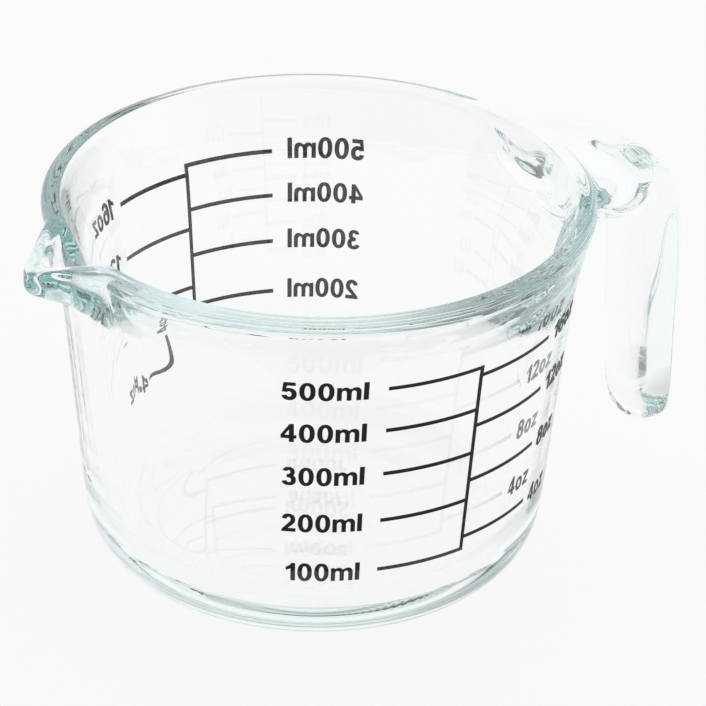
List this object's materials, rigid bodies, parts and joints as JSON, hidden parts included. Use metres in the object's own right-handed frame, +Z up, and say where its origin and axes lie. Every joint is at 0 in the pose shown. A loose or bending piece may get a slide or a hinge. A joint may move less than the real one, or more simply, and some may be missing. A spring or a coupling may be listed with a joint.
{
  "type": "measuring jug",
  "caption": "Clear pressed-glass measuring jug: tapered round bowl, beaked pouring spout, open hook handle and dark printed volume scales.",
  "frame": {"origin": "centre of the foot ring, on the surface that the jug stands on", "axes": "+Z up along the bowl's axis, +X towards the handle, -X towards the spout"},
  "size_m": [0.1726, 0.1286, 0.093],
  "materials": {
    "clear_glass": "clear pressed glass, fire polished, faintly green in thick edges",
    "black_enamel": "screen-printed enamel fired onto the glass, satin black"
  },
  "bodies": {
    "root": {"bowl": "clear_glass", "handle": "clear_glass", "front_millilitre_scale": "black_enamel", "front_ounce_scale": "black_enamel", "back_millilitre_scale": "black_enamel", "back_ounce_scale": "black_enamel"}
  },
  "joints": []
}
